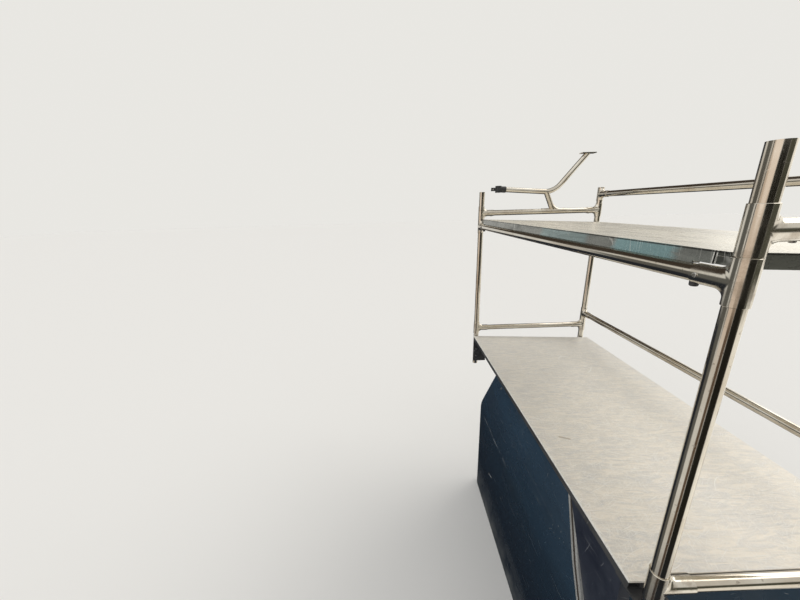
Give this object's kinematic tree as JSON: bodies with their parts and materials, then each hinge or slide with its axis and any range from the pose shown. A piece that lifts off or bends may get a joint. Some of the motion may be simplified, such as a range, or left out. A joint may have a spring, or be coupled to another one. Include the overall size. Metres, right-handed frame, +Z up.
{
  "type": "bus wheelhouse luggage rack",
  "caption": "City bus luggage rack of steel tube: a raised shelf over a sheet metal table that stands on the moulded wheelhouse cover, with tee fittings, end rails and an overhead stay.",
  "frame": {"origin": "middle of the rack's footprint, on the bus floor", "axes": "+X from the aisle to the side wall, +Y to the rear of the bus, +Z up"},
  "size_m": [0.7342, 1.474, 2.0555],
  "materials": {
    "moulding": "satin gelcoat, dusty and lightly scratched",
    "trim_aluminium": "satin extruded",
    "panel_paint": "satin dark navy",
    "table_steel": "worn, finely scratched all over",
    "frame_paint": "satin black",
    "shelf_steel": "smooth, reflective, lightly marked",
    "tube_steel": "polished satin",
    "tee_steel": "cast, linished",
    "bolt_zinc": "zinc plated",
    "clamp_plastic": "matt black"
  },
  "bodies": {
    "root": {"aisle_bracket_front": "frame_paint", "aisle_bracket_rear": "frame_paint", "aisle_post_front": "tube_steel", "aisle_post_rear": "tube_steel", "aisle_tees_front": "tee_steel", "aisle_tees_rear": "tee_steel", "corner_trim": "trim_aluminium", "front_panel": "panel_paint", "guard_rail_lower": "tube_steel", "guard_rail_upper": "tube_steel", "lower_end_rail_front": "tube_steel", "lower_end_rail_rear": "tube_steel", "overhead_stay": "tube_steel", "post_plugs": "tube_steel", "shelf_corner_plates": "shelf_steel", "shelf_rail_aisle": "tube_steel", "shelf_rail_wall": "tube_steel", "shelf_tray": "shelf_steel", "stay_clamp": "clamp_plastic", "table_frame": "frame_paint", "table_top": "table_steel", "upper_end_rail_front": "tube_steel", "upper_end_rail_rear": "tube_steel", "wall_bracket_front": "frame_paint", "wall_bracket_rear": "frame_paint", "wall_ledger_front": "trim_aluminium", "wall_ledger_rear": "trim_aluminium", "wall_post_front": "tube_steel", "wall_post_rear": "tube_steel", "wall_tees_front": "tee_steel", "wall_tees_rear": "tee_steel", "wheelhouse_moulding": "moulding"}
  },
  "joints": []
}
